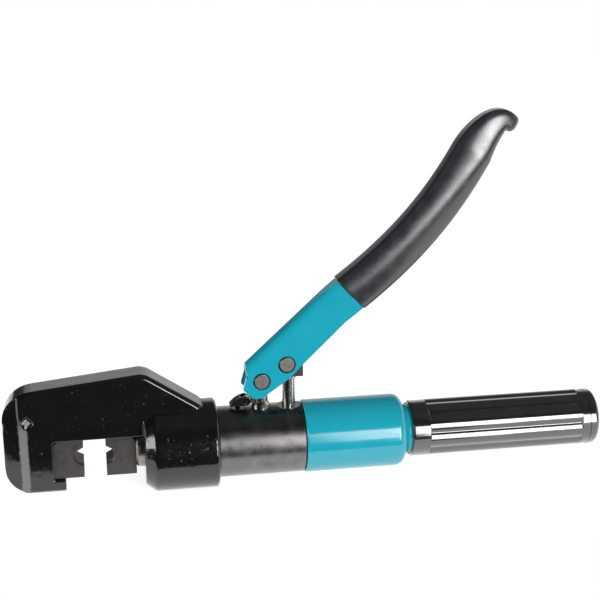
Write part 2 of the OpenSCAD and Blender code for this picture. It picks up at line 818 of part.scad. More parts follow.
module release_trigger() {
    curve = [for (k = [0:corner_steps])
        let (share = bezier(trigger_curve_shares, k / corner_steps))
        [trigger_pivot_x - trigger_len * share.x, trigger_low_z + trigger_h * share.y]];
    slot_r = tongue_r + 2 * clear_gap;
    color(black_vinyl) difference() {
        union() {
            side_plate(trigger_w) polygon(concat([[trigger_pivot_x, trigger_low_z]], curve));
            translate([trigger_pivot_x, 0, trigger_pivot_z])
                rod_y(-trigger_w / 2, trigger_w, trigger_hub_r);
        }
        translate([trigger_pivot_x, 0, trigger_pivot_z]) {
            rod_y(-trigger_w, 2 * trigger_w, trigger_pin_r + run_gap);
            translate([-slot_r, -tongue_t / 2 - clear_gap, -trigger_h])
                cube([2 * slot_r, tongue_t + 2 * clear_gap, 2 * trigger_h]);
        }
    }
}

module trigger_pin() {
    half = trigger_w / 2 + trigger_pin_proud;
    color(pin_steel) translate([trigger_pivot_x, 0, trigger_pivot_z]) rod_y(-half, 2 * half, trigger_pin_r);
}

module suction_ball() {
    translate([suction_ball_x, 0, pump_line_z]) valve_ball();
}

module suction_spring() {
    start_x = suction_floor_x + valve_wire_r + play;
    color(pin_steel) translate([start_x, 0, pump_line_z]) rotate([0, 90, 0])
        coil(suction_ball_x - ball_to_coil - start_x, valve_coil_r, valve_wire_r, valve_turns);
}

module suction_seat() {
    color(brass_yellow) translate([0, 0, pump_line_z])
        ring_x(suction_seat_x, suction_seat_len, pocket_r - seat_gap, ball_seat_r);
}

module suction_screen() {
    color(brass_yellow) difference() {
        rod_x(screen_x, screen_t, screen_r - seat_gap);
        for (k = [0:screen_holes - 1]) {
            rotate([360 * k / screen_holes, 0, 0]) translate([0, screen_r * screen_circle_share, 0])
                rod_x(screen_x - overrun, screen_t + 2 * overrun, screen_hole_r);
        }
    }
}

module plunger_seal() {
    color(nylon_white) translate([plunger_x, 0, 0]) difference() {
        rod_z(packing_seat_z + play, packing_h, gland_r);
        rod_z(packing_seat_z, packing_h + overrun, plunger_r + run_gap);
    }
}

module plunger_gland() {
    color(black_oxide) translate([plunger_x, 0, 0]) difference() {
        rod_z(gland_low_z, gland_len, gland_r);
        rod_z(gland_low_z - overrun, gland_len + 2 * overrun, plunger_r + run_gap);
    }
}

module pump_plunger() {
    flange_z = head_low_z - rod_flange_h;
    color(bright_steel) translate([plunger_x, 0, 0]) rotate_extrude()
        polygon([[0, plunger_tip_z], [plunger_r, plunger_tip_z], [plunger_r, flange_z],
            [rod_flange_r, flange_z], [rod_flange_r, head_low_z], [rod_neck_r, head_low_z],
            [rod_neck_r, head_low_z + rod_neck_len], [0, head_low_z + rod_neck_len]]);
}

module plunger_head() {
    eye_r = pin_r + slot_play;
    color(die_steel) translate([plunger_x, 0, 0]) difference() {
        translate([-head_block_len / 2, -inner_half, head_low_z])
            cube([head_block_len, 2 * inner_half, head_block_h]);
        translate([0, 0, plunger_pin_z]) {
            for (x = [slot_low, slot_high]) {
                translate([x, 0, 0]) rod_y(-channel_w, 2 * channel_w, eye_r);
            }
            translate([slot_low, -channel_w, -eye_r])
                cube([slot_high - slot_low, 2 * channel_w, 2 * eye_r]);
        }
        rod_z(head_low_z - overrun, rod_neck_len + overrun + play, rod_neck_r + seat_gap);
    }
}

module fulcrum_post() {
    bead_z = body_r + bead_h / 2;
    stud_end_z = post_seat_z - stud_len;
    color(bright_steel) difference() {
        union() {
            translate([fulcrum_x, 0, 0]) rotate_extrude()
                polygon([[0, stud_end_z], [stud_r, stud_end_z], [stud_r, post_seat_z],
                    [post_bead_r, post_seat_z], [post_bead_r, bead_z], [post_r, bead_z + bead_h / 2],
                    [post_r, fulcrum_h], [0, fulcrum_h]]);
            translate([fulcrum_x, 0, fulcrum_h]) rod_y(-inner_half, 2 * inner_half, post_eye_r);
            translate([trigger_pivot_x, 0, trigger_pivot_z]) {
                rod_y(-tongue_t / 2, tongue_t, tongue_r);
                translate([0, -tongue_t / 2, -tongue_h / 2])
                    cube([trigger_pivot_ahead, tongue_t, tongue_h]);
            }
        }
        translate([fulcrum_x, 0, fulcrum_h]) rod_y(-channel_w, 2 * channel_w, pin_r + run_gap);
        translate([trigger_pivot_x, 0, trigger_pivot_z])
            rod_y(-channel_w, 2 * channel_w, trigger_pin_r + seat_gap);
    }
}

// A lever pin with a circlip groove in its back end
module lever_pin() {
    front_y = -channel_w / 2 - pin_proud;
    back_y = channel_w / 2 + pin_tail;
    color(pin_steel) difference() {
        rod_y(front_y, back_y - front_y, pin_r);
        translate([0, channel_w / 2 + play, 0]) difference() {
            rod_y(0, clip_t + 2 * play, pin_r + overrun);
            rod_y(-overrun, clip_t + 2 * overrun, pin_r - clip_groove_depth);
        }
    }
}

module fulcrum_pin() {
    translate([fulcrum_x, 0, fulcrum_h]) lever_pin();
}

module plunger_pin() {
    translate([plunger_pin_x, 0, plunger_pin_z]) lever_pin();
}

module pin_clips() {
    for (place = [[fulcrum_x, fulcrum_h], [plunger_pin_x, plunger_pin_z]]) {
        color(black_oxide) translate([place.x, channel_w / 2 + 2 * play, place.y]) difference() {
            rod_y(0, clip_t, clip_r);
            rod_y(-overrun, clip_t + 2 * overrun, pin_r - clip_groove_depth + seat_gap);
        }
    }
}

// The lever's own frame: X along the lever from the fulcrum, Z across it towards the spine
module on_lever() {
    translate([fulcrum_x, 0, fulcrum_h]) rotate([0, -lever_rise, 0]) children();
}

module tang_block(gap) {
    translate([channel_len - tang_lap, -tang_w / 2 - gap, tang_mid_v - tang_h / 2 - gap])
        cube([tang_lap + tang_len + gap, tang_w + 2 * gap, tang_h + 2 * gap]);
}

module lever_channel() {
    front = [for (share = cheek_front_shares) share * cheek_nose_r];
    under = [for (share = cheek_under_shares) share * cheek_nose_r];
    outline = rounded(
        concat(front, under, [[belly_u_share * cheek_nose_r, -belly_drop_share * cheek_drop],
            [belly_end_share * cheek_nose_r, -cheek_drop], [lean_u, -cheek_end_drop],
            [channel_len, -cheek_end_drop - lean_drop], [channel_len, spine_h - lean_drop],
            [lean_u, spine_h], [0, spine_h]]),
        cheek_corner_shares * cheek_nose_r);
    half_w = channel_w / 2;
    flat_w = channel_w - 2 * bend_r;
    reach = channel_len + 2 * cheek_nose_r;
    hole_r = pin_r + seat_gap;
    color(teal_paint) on_lever() difference() {
        union() {
            intersection() {
                side_plate(channel_w) polygon(outline);
                union() {
                    translate([-cheek_nose_r * 2, -half_w, -spine_h * 2])
                        cube([reach, channel_w, spine_h * 3 - bend_r]);
                    translate([-cheek_nose_r * 2, -flat_w / 2, -spine_h])
                        cube([reach, flat_w, 2 * spine_h]);
                    for (side = [-1, 1]) {
                        translate([0, side * flat_w / 2, spine_h - bend_r])
                            rod_x(-cheek_nose_r * 2, reach, bend_r);
                    }
                }
            }
            tang_block(0);
        }
        translate([-cheek_nose_r * 2, -fork_gap, -spine_h * 2])
            cube([2 * cheek_nose_r + channel_len - tang_lap, 2 * fork_gap, 3 * spine_h - channel_wall]);
        translate([channel_len - tang_lap - overrun, channel_wall - tang_w / 2, -spine_h * 2])
            cube([tang_lap + tang_len + 2 * overrun, tang_w - 2 * channel_wall,
                spine_h * 2 + tang_mid_v + tang_h / 2 - channel_wall]);
        rod_y(-channel_w, 2 * channel_w, hole_r);
        rotate([0, lever_rise - pin_rise, 0]) translate([pin_pitch, 0, 0])
            rod_y(-channel_w, 2 * channel_w, hole_r);
        for (angle = [0, lever_rise - pin_rise], reach_out = [angle == 0 ? 0 : pin_pitch]) {
            rotate([0, angle, 0]) translate([reach_out, -half_w, 0]) rotate([-90, 0, 0])
                cylinder(h = pin_sink, r1 = hole_r + pin_sink, r2 = hole_r);
        }
    }
}

// A station of the grip: middle [u, v], unit direction, half depth and half width
function grip_curve() = [for (share = grip_curve_shares)
    [channel_len + grip_len * share.x, grip_start_v + grip_lift * share.y]];
function hook_curve() = let (start = bezier(grip_curve(), 1))
    [for (share = hook_curve_shares) start + hook_len * share];
function blend(a, b, t) = a + (b - a) * t;
function grip_station(t) = [bezier(grip_curve(), t),
    t == 0 ? [1, 0] : unit(bezier_slope(grip_curve(), t)),
    grip_depth / 2 * blend(1, grip_end_share, t), grip_w / 2];
function hook_station(t) = [bezier(hook_curve(), t), unit(bezier_slope(hook_curve(), t)),
    blend(grip_depth * grip_end_share, tip_depth, t) / 2, grip_w / 2 * blend(1, tip_w_share, t)];
function tip_station(k) = let (end = hook_station(1), angle = tip_angle * k / tip_steps)
    [end[0] + end[1] * tip_depth * tip_round_share * sin(angle), end[1],
        end[2] * cos(angle), end[3] * cos(angle)];
function station_ring(s) = [for (j = [0:grip_sides - 1])
    let (
        angle = 360 * j / grip_sides,
        across = s[3] * signed_pow(cos(angle), grip_square_share),
        up = s[2] * signed_pow(sin(angle), grip_square_share)
    )
    [s[0].x - s[1].y * up, across, s[0].y + s[1].x * up]];

module lever_grip() {
    stations = concat(
        [for (k = [0:grip_steps]) grip_station(k / grip_steps)],
        [for (k = [1:hook_steps]) hook_station(k / hook_steps)],
        [for (k = [1:tip_steps]) tip_station(k)]);
    rings = len(stations);
    last = (rings - 1) * grip_sides;
    walls = [for (i = [0:rings - 2], j = [0:grip_sides - 1], half = [0, 1])
        let (
            a = i * grip_sides + j,
            b = i * grip_sides + (j + 1) % grip_sides
        )
        half == 0 ? [a, a + grip_sides, b] : [b, a + grip_sides, b + grip_sides]];
    first_cap = [for (j = [1:grip_sides - 2]) [0, j, j + 1]];
    last_cap = [for (j = [1:grip_sides - 2]) [last, last + j + 1, last + j]];
    color(black_vinyl) on_lever() difference() {
        polyhedron([for (s = stations) each station_ring(s)], concat(walls, first_cap, last_cap));
        tang_block(seat_gap);
    }
}

module oil_bladder() {
    neck_in = boss_r + seat_gap;
    neck_out = neck_in + bladder_wall;
    start_x = spigot_len + clear_gap;
    end_x = shell_len - shell_end - bladder_end_gap;
    inner_r = bladder_r - bladder_wall;
    color(seal_rubber) turned([[neck_in, start_x], [neck_out, start_x], [neck_out, boss_x],
        [bladder_r, boss_x + bladder_flare], [bladder_r, end_x - bladder_flare],
        [bladder_r - bladder_flare, end_x], [0, end_x], [0, end_x - bladder_wall],
        [inner_r - bladder_flare, end_x - bladder_wall], [inner_r, end_x - bladder_flare - bladder_wall],
        [inner_r, boss_x + bladder_flare + bladder_wall], [neck_in, boss_x + bladder_wall]]);
}

module bladder_clamp() {
    clamp_in = boss_r + bladder_wall + 2 * seat_gap;
    color(pin_steel)
        ring_x(spigot_len + (boss_len - clamp_len) / 2, clamp_len, clamp_in + clamp_wall, clamp_in);
}

module reservoir_shell() {
    shoulder = [for (k = [0:corner_steps])
        let (angle = 90 * k / corner_steps)
        [shell_r - shoulder_r + shoulder_r * cos(angle), shell_len - shoulder_r + shoulder_r * sin(angle)]];
    tube_hole_r = tube_r + seat_gap;
    color(teal_paint) turned(concat([[shell_bore_r, 0], [shell_r, 0]], shoulder,
        [[neck_r, shell_len], [neck_r, neck_end_x], [tube_hole_r, neck_end_x], [tube_hole_r, shell_len],
            [0, shell_len], [0, shell_len - shell_end],
            [shell_bore_r - shoulder_r / 2, shell_len - shell_end],
            [shell_bore_r, shell_len - shell_end - shoulder_r / 2]]));
}

module handle_tube() {
    start_x = shell_len + tube_end_gap;
    end_x = sleeve_end_x - cap_flange - play;
    color(pin_steel) ring_x(start_x, end_x - start_x, tube_r, tube_r - tube_wall);
}

module handle_grip() {
    tube_hole_r = tube_r + seat_gap;
    neck_hole_r = neck_r + seat_gap;
    cap_hole_r = cap_r + seat_gap;
    flange_x = sleeve_end_x - cap_flange;
    step_x = neck_end_x + clear_gap;
    ribs_x = sleeve_x + band_len;
    ribs_len = handle_len - 2 * band_len;
    rib_orbit = handle_r - rib_drop - rib_r;
    end_round = [for (k = [0:corner_steps])
        let (angle = 90 * k / corner_steps)
        [handle_r - sleeve_edge * (1 - cos(angle)), sleeve_end_x - sleeve_edge * (1 - sin(angle))]];
    color(black_gloss) difference() {
        turned(concat([[neck_hole_r, sleeve_x], [handle_r, sleeve_x]], end_round,
            [[cap_hole_r, sleeve_end_x], [cap_hole_r, flange_x], [tube_hole_r, flange_x],
                [tube_hole_r, step_x], [neck_hole_r, step_x]]));
        difference() {
            ring_x(ribs_x, ribs_len, handle_r + overrun, rib_orbit);
            for (k = [0:rib_count - 1]) {
                rotate([360 * (k + rib_turn_share) / rib_count, 0, 0])
                    translate([0, 0, rib_orbit])
                    rod_x(ribs_x - overrun, ribs_len + 2 * overrun, rib_r);
            }
        }
    }
}

module end_cap() {
    plug_r = tube_r - tube_wall - seat_gap;
    flange_x = sleeve_end_x - cap_flange;
    color(black_gloss) {
        rod_x(flange_x, cap_flange, cap_r);
        rod_x(flange_x - cap_plug_len, cap_plug_len + play, plug_r);
    }
}

head_yoke();
fixed_die();
fixed_die_screw();
rod_wiper();
ram();
moving_die();
moving_die_ring();
piston_seal();
piston_backup_ring();
ram_return_spring();
pump_body();
body_o_ring();
delivery_ball();
delivery_spring();
delivery_plug();
relief_ball();
relief_spring();
relief_screw();
release_ball();
release_spring();
release_plug();
release_bush();
release_pin();
release_trigger();
trigger_pin();
suction_ball();
suction_spring();
suction_seat();
suction_screen();
plunger_seal();
plunger_gland();
pump_plunger();
plunger_head();
fulcrum_post();
fulcrum_pin();
plunger_pin();
pin_clips();
lever_channel();
lever_grip();
oil_bladder();
bladder_clamp();
shell_o_ring();
reservoir_shell();
handle_tube();
handle_grip();
end_cap();
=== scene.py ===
# A hand hydraulic crimping tool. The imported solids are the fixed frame, and the pieces are
# dressed here in the order in which the tool is put together, from the head to the handle.
import math

import bmesh
import bpy
from mathutils import Matrix, Vector


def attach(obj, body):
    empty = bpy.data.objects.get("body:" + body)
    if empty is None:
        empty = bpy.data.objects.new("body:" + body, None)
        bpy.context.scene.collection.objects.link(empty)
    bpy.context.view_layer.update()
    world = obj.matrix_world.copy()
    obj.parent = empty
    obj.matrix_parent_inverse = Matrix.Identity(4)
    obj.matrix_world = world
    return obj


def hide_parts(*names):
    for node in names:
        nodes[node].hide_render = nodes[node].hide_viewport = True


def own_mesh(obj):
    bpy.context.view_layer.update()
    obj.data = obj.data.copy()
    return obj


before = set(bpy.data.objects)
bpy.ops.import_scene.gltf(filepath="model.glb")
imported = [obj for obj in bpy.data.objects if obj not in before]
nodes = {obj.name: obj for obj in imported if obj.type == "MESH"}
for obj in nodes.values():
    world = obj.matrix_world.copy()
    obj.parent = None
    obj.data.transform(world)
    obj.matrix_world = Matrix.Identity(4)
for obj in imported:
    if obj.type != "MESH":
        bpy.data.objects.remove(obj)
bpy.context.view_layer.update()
scene = bpy.context.scene
MM = 0.001


# Head yoke
# A steel forging: the C-shaped jaw and the ram's cylinder in one piece. Black enamel is brushed
# on thickly, so every edge is soft and the forged skin shows through as slow waves.
def linear(colour):
    """An sRGB hex colour as linear RGBA."""
    shades = [int(colour[i:i + 2], 16) / 255 for i in (1, 3, 5)]
    return [s / 12.92 if s <= 0.04045 else ((s + 0.055) / 1.055) ** 2.4 for s in shades] + [1]


def add(tree, kind, inputs=None, **settings):
    """A node with its settings, its values and the sockets that lead into it."""
    node = tree.nodes.new(kind)
    for key, value in settings.items():
        setattr(node, key, value)
    for key, value in (inputs or {}).items():
        if isinstance(value, bpy.types.NodeSocket):
            tree.links.new(value, node.inputs[key])
        else:
            node.inputs[key].default_value = value
    return node


def start_finish(name):
    """A new material, its tree and the place on the piece in millimetres."""
    material = bpy.data.materials.new(name)
    material.use_nodes = True
    tree = material.node_tree
    tree.nodes.clear()
    place = add(tree, "ShaderNodeTexCoord").outputs["Object"]
    mm = add(tree, "ShaderNodeVectorMath", {0: place, "Scale": 1000}, operation="SCALE").outputs[0]
    return material, tree, mm


def end_finish(tree, look):
    """Ends a material with its shader, from the values and sockets for the shader's inputs."""
    shader = add(tree, "ShaderNodeBsdfPrincipled", look)
    add(tree, "ShaderNodeOutputMaterial", {"Surface": shader.outputs[0]})


def fit(name, mesh, body, slot, material, *stands_for):
    """Puts a finished mesh on its body in place of the CAD nodes that it stands for."""
    mesh.materials.clear()
    mesh.materials.append(material)
    piece = bpy.data.objects.new(name, mesh)
    scene.collection.objects.link(piece)
    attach(piece, body)
    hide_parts(*stands_for)
    return piece


# Brushed enamel: nearly black and glossy, with brush waves about 9 mm long, finer sags of 2 mm
# that break up the edges of reflections and a few specks of grit under the paint. On the milled
# relief beside the nose it is duller and carries a painted highlight in light grey.
enamel, tree, mm = start_finish("brushed_black_enamel")
waves = add(tree, "ShaderNodeTexNoise", {"Vector": mm, "Scale": 1 / 9, "Detail": 2}).outputs[0]
sags = add(tree, "ShaderNodeTexNoise", {"Vector": mm, "Scale": 1 / 2.2, "Detail": 3}).outputs[0]
grit = add(tree, "ShaderNodeTexNoise", {"Vector": mm, "Scale": 1 / 1.4, "Detail": 1}).outputs[0]
grit = add(tree, "ShaderNodeMapRange", {0: grit, 1: 0.71, 2: 0.8, 3: 0, 4: 0.6}).outputs[0]
raised = add(tree, "ShaderNodeMath", {0: sags, 1: 0.3, 2: waves}, operation="MULTIPLY_ADD")
raised = add(tree, "ShaderNodeMath", {0: raised.outputs[0], 1: grit}, operation="ADD").outputs[0]
skin = add(tree, "ShaderNodeBump", {"Height": raised, "Strength": 0.6, "Distance": 0.2 * MM})
depth = add(tree, "ShaderNodeMix", {0: waves, 6: linear("#0B0B0D"), 7: linear("#171719")},
            data_type="RGBA")
gloss = add(tree, "ShaderNodeMapRange", {0: sags, 1: 0.3, 2: 0.7, 3: 0.08, 4: 0.17})
# The painted highlight fades in and out between these places, ragged to the left and right.
sheen_left, sheen_right, sheen_top = (-146.7, -145.9), (-142.4, -141.5), (16.0, 17.4)
ragged_by = 2.0
at = add(tree, "ShaderNodeSeparateXYZ", {0: mm}).outputs
ragged = add(tree, "ShaderNodeMath", {0: sags, 1: ragged_by, 2: at["X"]},
             operation="MULTIPLY_ADD").outputs[0]
painted_sheen = add(tree, "ShaderNodeMapRange", {0: ragged, 1: sheen_left[0], 2: sheen_left[1]}).outputs[0]
for edge, (starts, stops) in ((ragged, sheen_right), (at["Z"], sheen_top)):
    kept = add(tree, "ShaderNodeMapRange", {0: edge, 1: starts, 2: stops, 3: 1, 4: 0}).outputs[0]
    painted_sheen = add(tree, "ShaderNodeMath", {0: painted_sheen, 1: kept}, operation="MULTIPLY").outputs[0]
# The light grey on the relief is a painted highlight, mixed over the enamel's own tone.
wear_and_sheen = add(tree, "ShaderNodeMix", {0: painted_sheen, 6: depth.outputs[2], 7: linear("#666664")},
           data_type="RGBA")
dull = add(tree, "ShaderNodeMath", {0: painted_sheen, 1: 0.3, 2: gloss.outputs[0]},
           operation="MULTIPLY_ADD")
end_finish(tree, {"Base Color": wear_and_sheen.outputs[2], "Roughness": dull.outputs[0],
                  "Normal": skin.outputs[0], "IOR": 1.6})

# The coat is the forging's own skin, remade as an even net and then left to flow.
forging = bpy.data.objects.new("forging", nodes["head_yoke"].data.copy())
scene.collection.objects.link(forging)
net = forging.modifiers.new("net", "REMESH")
net.mode = "VOXEL"
net.voxel_size = 0.5 * MM
flow = forging.modifiers.new("flow", "SMOOTH")
flow.factor = 0.5
flow.iterations = 5
bpy.context.view_layer.update()
coat = bpy.data.meshes.new_from_object(
    forging.evaluated_get(bpy.context.evaluated_depsgraph_get()))
bpy.data.objects.remove(forging)
# The cutter that milled the relief ran out in a slanting flat above it, on both sides.
scoop_x, scoop_z, scoop_half, scoop_rim = -142.9, 20.4, 2.7, 0.6
scoop_deep, rise_slope, run_slope, flank_from = 1.0, 0.27, 0.17, 4
for vertex in coat.vertices:
    across, up = vertex.co.x / MM - scoop_x, vertex.co.z / MM - scoop_z
    inside = (scoop_half - max(abs(across + up), abs(up - across)) / math.sqrt(2)) / scoop_rim
    if inside > 0 and abs(vertex.co.y) > flank_from * MM:
        sunk = max(0, scoop_deep + rise_slope * up + run_slope * across) * min(1, inside)
        vertex.co.y -= math.copysign(sunk * MM, vertex.co.y)
# The facets and the relief beside the nose run out softly upward, where the solid stops them.
nose_x, facet_x, relief_x = -155.5, -147.3, -144.6
nose_half, facet_half, yoke_half = 3.0, 5.6, 8.6
facet_z, facet_out, stop_z, relief_out, relief_taper = 13.5, 26.0, 17.0, 7.0, 0.88
for vertex in coat.vertices:
    x, y, z = (c / MM for c in vertex.co)
    if x < relief_x and z > facet_z:
        faded = min(1, max(0, z - stop_z) / relief_out)
        wide = (relief_x - facet_x) * (1 - relief_taper * faded)
        bent = max(nose_half + (facet_half - nose_half) * (x - nose_x) / (facet_x - nose_x),
                   min(yoke_half, facet_half + (yoke_half - facet_half) * (x - facet_x) / wide))
        filled = min(1, (z - facet_z) / facet_out) ** 3
        limit = max(nose_half, bent + (yoke_half - bent) * filled)
        vertex.co.y = math.copysign(min(abs(y), limit), y) * MM
# That folds the solid's ledge flat, so its points are joined and evened out.
ledge_reach, ledge_join, ledge_passes = 2.5, 0.3, 8


def ledge(form):
    """The points of a form that lie near the ledge."""
    return [v for v in form.verts
            if v.co.x < relief_x * MM and abs(v.co.z / MM - stop_z) < ledge_reach]


form = bmesh.new()
form.from_mesh(coat)
bmesh.ops.remove_doubles(form, verts=ledge(form), dist=ledge_join * MM)
for k in range(ledge_passes):
    bmesh.ops.smooth_vert(form, verts=ledge(form), factor=0.5,
                          use_axis_x=True, use_axis_y=True, use_axis_z=True)
form.to_mesh(coat)
form.free()
coat.polygons.foreach_set("use_smooth", [True] * len(coat.polygons))
fit("head_yoke_coat", coat, "frame", "yoke_paint", enamel, "head_yoke")


# Crimp dies
# Two loose half-hexagon dies, milled from tool steel and heat treated, so they are a dull
# grey-brown with fine cutter marks. Each sits in the head or the ram and is held from behind.
def finished(name, form):
    """The mesh of a form. Its normals follow the larger faces, so flat and long faces stay true."""
    broad_width, shared_cos, broad_pull = 2.2, 0.7, 50
    form.normal_update()
    area = {face: face.calc_area() for face in form.faces}
    broad = {face: area[face] > broad_width * MM * max(e.calc_length() for e in face.edges)
             for face in form.faces}
    light = []
    for face in form.faces:
        face.smooth = True
        for corner in face.loops:
            mixed = face.normal * area[face]
            for other in corner.vert.link_faces:
                if other != face and other.normal.dot(face.normal) > shared_cos:
                    mixed = mixed + other.normal * area[other] * (broad_pull if broad[other] else 1)
            light.append(face.normal.copy() if broad[face] else mixed.normalized())
    mesh = bpy.data.meshes.new(name)
    form.to_mesh(mesh)
    form.free()
    mesh.normals_split_custom_set(light)
    return mesh


def eased(node, radius, reshape=None):
    """A copy of a node's mesh with its sharp edges eased to a radius in millimetres."""
    same_point, same_plane, sharp_from = 0.002, math.radians(0.6), math.radians(24)
    form = bmesh.new()
    form.from_mesh(nodes[node].data)
    bmesh.ops.remove_doubles(form, verts=form.verts, dist=same_point * MM)
    bmesh.ops.dissolve_limit(form, angle_limit=same_plane, verts=form.verts, edges=form.edges)
    if reshape:
        for vertex in form.verts:
            vertex.co = reshape(vertex.co)
    sharp = [e for e in form.edges if e.is_manifold and e.calc_face_angle() > sharp_from]
    bmesh.ops.bevel(form, geom=sharp, offset=radius * MM, offset_type="OFFSET", segments=2,
                    profile=0.5, affect="EDGES", clamp_overlap=True)
    return finished(node + "_eased", form)


def shaded(tree, pattern, dark, light, smooth, rough, wear=None):
    """Shader inputs: a colour that follows a pattern, and a roughness with it or with another."""
    tone = add(tree, "ShaderNodeMix", {0: pattern, 6: linear(dark), 7: linear(light)},
               data_type="RGBA")
    wear_and_sheen = pattern if wear is None else wear
    # Noise lies mostly between 0.3 and 0.7.
    rub = add(tree, "ShaderNodeMapRange", {0: wear_and_sheen, 1: 0.3, 2: 0.7, 3: smooth, 4: rough})
    return {"Base Color": tone.outputs[2], "Roughness": rub.outputs[0]}


# Heat-treated tool steel: dull, warm grey scale in 3 mm clouds over cutter marks 0.4 mm apart.
die_steel, tree, mm = start_finish("heat_treated_tool_steel")
clouds = add(tree, "ShaderNodeTexNoise", {"Vector": mm, "Scale": 1 / 3, "Detail": 5}).outputs[0]
stretch = add(tree, "ShaderNodeMapping", {"Vector": mm, "Scale": (0.08, 1, 1 / 0.4)}).outputs[0]
cuts = add(tree, "ShaderNodeTexNoise", {"Vector": stretch, "Scale": 1, "Detail": 2}).outputs[0]
marks = add(tree, "ShaderNodeBump", {"Height": cuts, "Strength": 0.25, "Distance": 0.1 * MM})
look = shaded(tree, clouds, "#3A3837", "#545150", 0.42, 0.6)
end_finish(tree, look | {"Normal": marks.outputs[0], "Metallic": 0.75})
die_edge = 0.25
fit("fixed_die_milled", eased("fixed_die", die_edge), "frame", "die_steel", die_steel, "fixed_die")
fit("moving_die_milled", eased("moving_die", die_edge), "ram", "die_steel", die_steel,
    "moving_die")


# Ram, its ring and the return spring
# A ground steel piston rod that pushes the moving die. It is plain steel, turned and then ground,
# with the spring wire and the die's snap ring in the same bare steel.
def dress(material, *names):
    """Gives CAD nodes that keep their own shape a finish."""
    for name in names:
        for place in nodes[name].material_slots:
            place.material = material


# Ground steel: grey metal with faint oil clouds of 5 mm and grinding lines round the axis, three
# to a millimetre.
ground_steel, tree, mm = start_finish("ground_steel")
stretch = add(tree, "ShaderNodeMapping", {"Vector": mm, "Scale": (3, 0.1, 0.1)}).outputs[0]
lines = add(tree, "ShaderNodeTexNoise", {"Vector": stretch, "Scale": 1, "Detail": 2}).outputs[0]
oil = add(tree, "ShaderNodeTexNoise", {"Vector": mm, "Scale": 1 / 5, "Detail": 3}).outputs[0]
marks = add(tree, "ShaderNodeBump", {"Height": lines, "Strength": 0.2, "Distance": 0.05 * MM})
look = shaded(tree, oil, "#74736F", "#96958F", 0.25, 0.4, wear=lines)
end_finish(tree, look | {"Normal": marks.outputs[0], "Metallic": 1})
dress(ground_steel, "ram", "moving_die_ring")
# In the tool the piston presses the return spring shorter, against the collar, as the ram comes
# out.
# Here it is a copy of its CAD mesh on the frame, with a mesh of its own.
spring = fit("ram_return_spring_wound", nodes["ram_return_spring"].data.copy(), "frame",
             "plain_steel", ground_steel, "ram_return_spring")
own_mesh(spring)


# Seals and the oil bladder
# Rings and the bladder are moulded from black nitrile rubber, pressed into their grooves, and the
# back-up ring beside the piston seal is cut from nylon. A steel clamp holds the bladder's neck.

# Nitrile rubber: matt black with a fine bloom in 1.5 mm specks.
rubber, tree, mm = start_finish("nitrile_rubber")
bloom = add(tree, "ShaderNodeTexNoise", {"Vector": mm, "Scale": 1 / 1.5, "Detail": 4}).outputs[0]
end_finish(tree, shaded(tree, bloom, "#18181A", "#2A2A2B", 0.55, 0.75))
dress(rubber, "rod_wiper", "piston_seal", "body_o_ring", "plunger_seal", "shell_o_ring",
      "oil_bladder")
dress(ground_steel, "bladder_clamp")

# Nylon: milky white with soft 2 mm clouding.
nylon, tree, mm = start_finish("turned_nylon")
milk = add(tree, "ShaderNodeTexNoise", {"Vector": mm, "Scale": 1 / 2, "Detail": 3}).outputs[0]
end_finish(tree, shaded(tree, milk, "#D9D5C8", "#E9E6DC", 0.4, 0.55))
dress(nylon, "piston_backup_ring")


# Pump body
# A turned steel block that screws into the head and holds the pump and its valves. It is
# chemically blackened and oiled, so it is dark and streaky with a soft shine.

# Blackened steel: dark grey metal with cloudy 6 mm stains and turning lines 0.5 mm apart.
black_oxide, tree, mm = start_finish("blackened_steel")
stain = add(tree, "ShaderNodeTexNoise", {"Vector": mm, "Scale": 1 / 6, "Detail": 3}).outputs[0]
stretch = add(tree, "ShaderNodeMapping", {"Vector": mm, "Scale": (1 / 0.5, 0.12, 0.12)}).outputs[0]
lines = add(tree, "ShaderNodeTexNoise", {"Vector": stretch, "Scale": 1, "Detail": 2}).outputs[0]
marks = add(tree, "ShaderNodeBump", {"Height": lines, "Strength": 0.08, "Distance": 0.03 * MM})
look = shaded(tree, stain, "#565658", "#827F7D", 0.26, 0.33)
end_finish(tree, look | {"Normal": marks.outputs[0], "Metallic": 1})
body_edge = 0.3
fit("pump_body_turned", eased("pump_body", body_edge), "frame", "blackened_steel", black_oxide,
    "pump_body")
dress(black_oxide, "fixed_die_screw")


# Valve plugs, seats, balls and springs
# Small parts inside the pump body: brass plugs, seats and a screen, screwed or pressed in, and
# polished steel bearing balls on springs of plain steel wire.

# Machined brass: warm yellow metal with 2 mm tarnish clouds.
brass, tree, mm = start_finish("machined_brass")
tarnish = add(tree, "ShaderNodeTexNoise", {"Vector": mm, "Scale": 1 / 2, "Detail": 3}).outputs[0]
end_finish(tree, shaded(tree, tarnish, "#A98544", "#CBA75F", 0.25, 0.4) | {"Metallic": 1})
dress(brass, "delivery_plug", "relief_screw", "release_plug", "suction_seat", "suction_screen")

# Polished steel: bright metal with faint 1.2 mm handling marks.
polished_steel, tree, mm = start_finish("polished_steel")
marks = add(tree, "ShaderNodeTexNoise", {"Vector": mm, "Scale": 1 / 1.2, "Detail": 3}).outputs[0]
end_finish(tree, shaded(tree, marks, "#BDBCBA", "#D6D5D2", 0.14, 0.24) | {"Metallic": 1})
dress(polished_steel, "delivery_ball", "relief_ball", "release_ball", "suction_ball")
dress(ground_steel, "delivery_spring", "relief_spring", "release_spring", "suction_spring")


# Release trigger
# A small tab pressed from sheet steel and painted black. It turns on a pin in front of the lever
# post and pushes the release pin below it.

